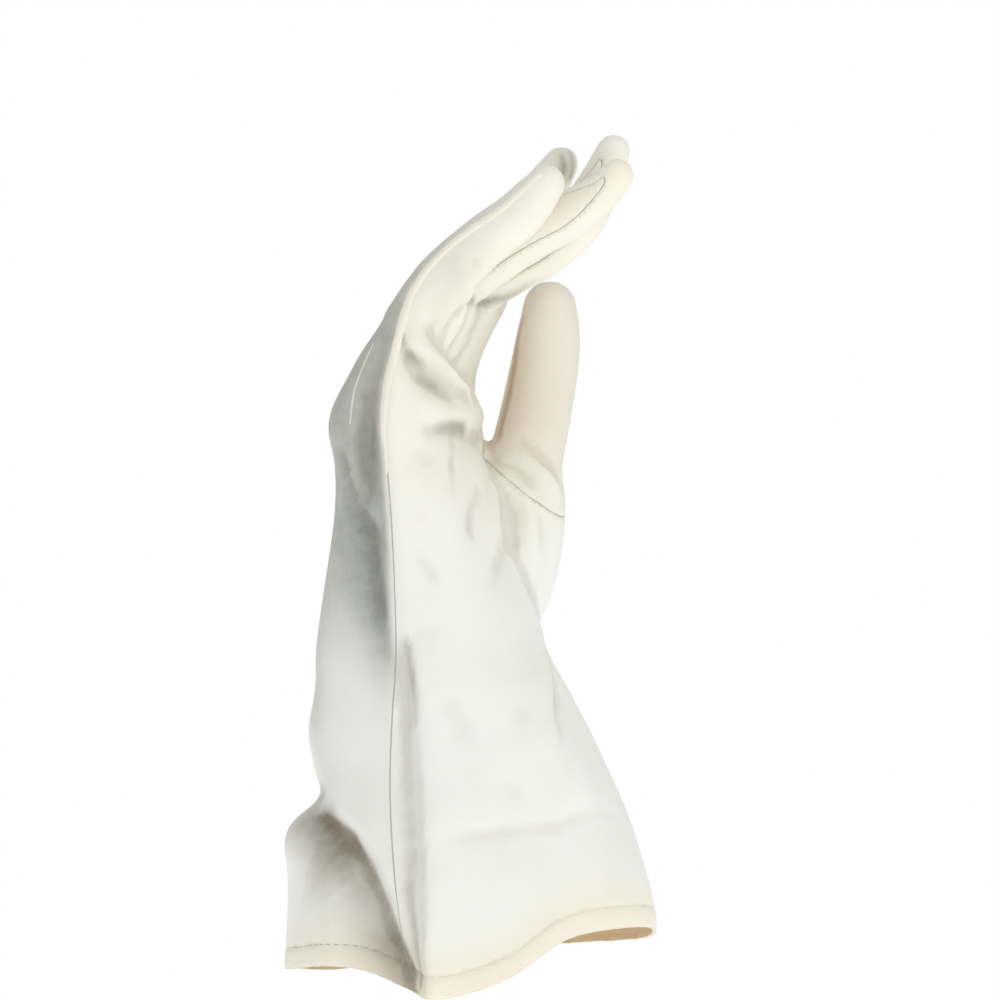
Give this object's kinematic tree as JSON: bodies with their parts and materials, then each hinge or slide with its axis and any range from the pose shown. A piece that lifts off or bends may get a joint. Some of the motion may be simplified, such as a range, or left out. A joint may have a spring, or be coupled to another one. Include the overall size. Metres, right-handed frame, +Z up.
{
  "type": "dress glove, right hand, flared cuff",
  "caption": "Right-hand dress glove in thin cream leather with a flared open cuff, set-in thumb and narrow forks between the fingers.",
  "frame": {"origin": "middle of the wrist, inside the glove", "axes": "+X out of the palm, +Y towards the thumb side, +Z up along the arm and hand"},
  "size_m": [0.1316, 0.1249, 0.3023],
  "materials": {
    "leather": "smooth cream glove leather, soft satin, slightly soiled in the folds",
    "thumb_leather": "the same glove leather, worn to beige",
    "fork_leather": "the same glove leather, a little duller"
  },
  "bodies": {
    "root": {"trank": "leather", "thumb": "thumb_leather", "fork_little_ring": "fork_leather", "fork_ring_middle": "fork_leather", "fork_middle_index": "fork_leather"}
  },
  "joints": []
}
